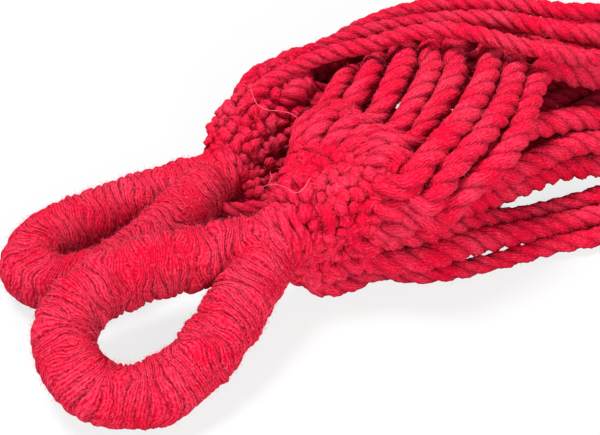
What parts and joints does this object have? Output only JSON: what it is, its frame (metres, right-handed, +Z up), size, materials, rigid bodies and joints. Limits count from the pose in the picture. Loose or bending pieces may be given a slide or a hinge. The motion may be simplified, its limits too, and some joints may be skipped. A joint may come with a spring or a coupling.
{
  "type": "rope-hung fabric hammock, folded",
  "caption": "Cotton hammock folded for storage: whipped hanging eyes, woven clews, fans of twisted rope, and a canvas bed folded into a packet.",
  "frame": {"origin": "centre of the flat underside of the folded bed", "axes": "+X from the hanging eyes towards the folded bed, +Y from the front clew towards the one behind it, +Z up from the surface it lies on"},
  "size_m": [0.6267, 0.23, 0.0619],
  "materials": {
    "rope": "twisted cotton rope, matt and slightly fuzzy",
    "whipping_cord": "soft untwisted cotton strand wound tightly, matt and fuzzy",
    "clew_cord": "woven cotton strands, matt",
    "canvas": "plain-weave cotton canvas, matt"
  },
  "bodies": {
    "hammock": {"near_neck_binding": "whipping_cord", "near_clew": "clew_cord", "near_hem": "canvas", "near_bed_end": "canvas", "near_bed_half": "canvas", "far_neck_binding": "whipping_cord", "far_clew": "clew_cord", "far_hem": "canvas", "far_bed_end": "canvas", "far_bed_half": "canvas", "near_rope_01": "rope", "near_rope_02": "rope", "near_rope_03": "rope", "near_rope_04": "rope", "near_rope_05": "rope", "near_rope_06": "rope", "near_rope_07": "rope", "near_rope_08": "rope", "near_rope_09": "rope", "near_rope_10": "rope", "near_rope_11": "rope", "near_rope_12": "rope", "near_rope_13": "rope", "near_rope_14": "rope", "far_rope_01": "rope", "far_rope_02": "rope", "far_rope_03": "rope", "far_rope_04": "rope", "far_rope_05": "rope", "far_rope_06": "rope", "far_rope_07": "rope", "far_rope_08": "rope", "far_rope_09": "rope", "far_rope_10": "rope", "far_rope_11": "rope", "far_rope_12": "rope", "far_rope_13": "rope", "far_rope_14": "rope"},
    "near_eye": {"near_eye_whipping": "whipping_cord", "near_eye_core": "rope"},
    "far_eye": {"far_eye_whipping": "whipping_cord", "far_eye_core": "rope"}
  },
  "joints": [
    {"name": "near_eye_lift", "type": "hinge", "parent": "hammock", "child": "near_eye", "pos_m": [-0.4348, -0.0485, 0.0331], "axis": [-0.3469, 0.9379, 0], "range_deg": [0, 60]},
    {"name": "far_eye_swing", "type": "hinge", "parent": "hammock", "child": "far_eye", "pos_m": [-0.4421, 0.01297, 0.0134], "axis": [0, 0, -1], "range_deg": [0, 35]}
  ]
}
